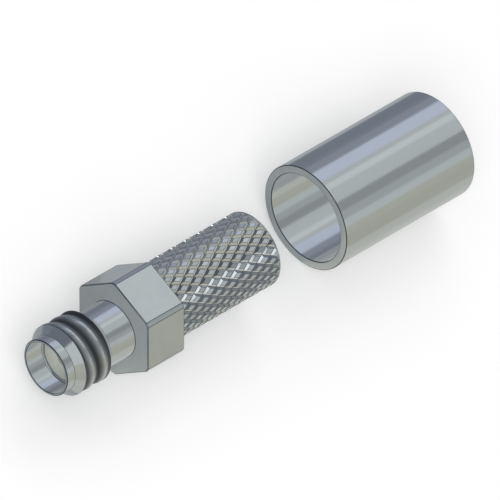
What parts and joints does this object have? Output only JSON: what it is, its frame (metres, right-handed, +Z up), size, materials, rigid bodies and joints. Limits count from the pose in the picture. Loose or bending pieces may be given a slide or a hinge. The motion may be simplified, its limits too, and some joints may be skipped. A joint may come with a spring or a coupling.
{
  "type": "coaxial cable connector",
  "caption": "Crimp coaxial cable connector: socket end with a threaded collar, spanner hexagon, diamond-knurled barrel, insulator, centre socket and a sliding crimp ferrule.",
  "frame": {"origin": "centre of the socket end's mouth, on the nose's front face", "axes": "+X along the connector's axis from the mating face towards the cable and the ferrule, +Z up, square to the upper hexagon flat"},
  "size_m": [0.045, 0.0094, 0.0094],
  "materials": {
    "plated_body": "bright nickel plate",
    "insulator_plastic": "turned fluoropolymer",
    "gilt_contact": "gold plate",
    "plated_ferrule": "satin nickel plate"
  },
  "bodies": {
    "connector": {"connector_body": "plated_body", "insulator": "insulator_plastic", "centre_contact": "gilt_contact"},
    "ferrule": {"crimp_ferrule": "plated_ferrule"}
  },
  "joints": [
    {"name": "ferrule_slide", "type": "slide", "parent": "connector", "child": "ferrule", "axis": [1, 0, 0], "range_m": [-0.01798, 0]}
  ]
}
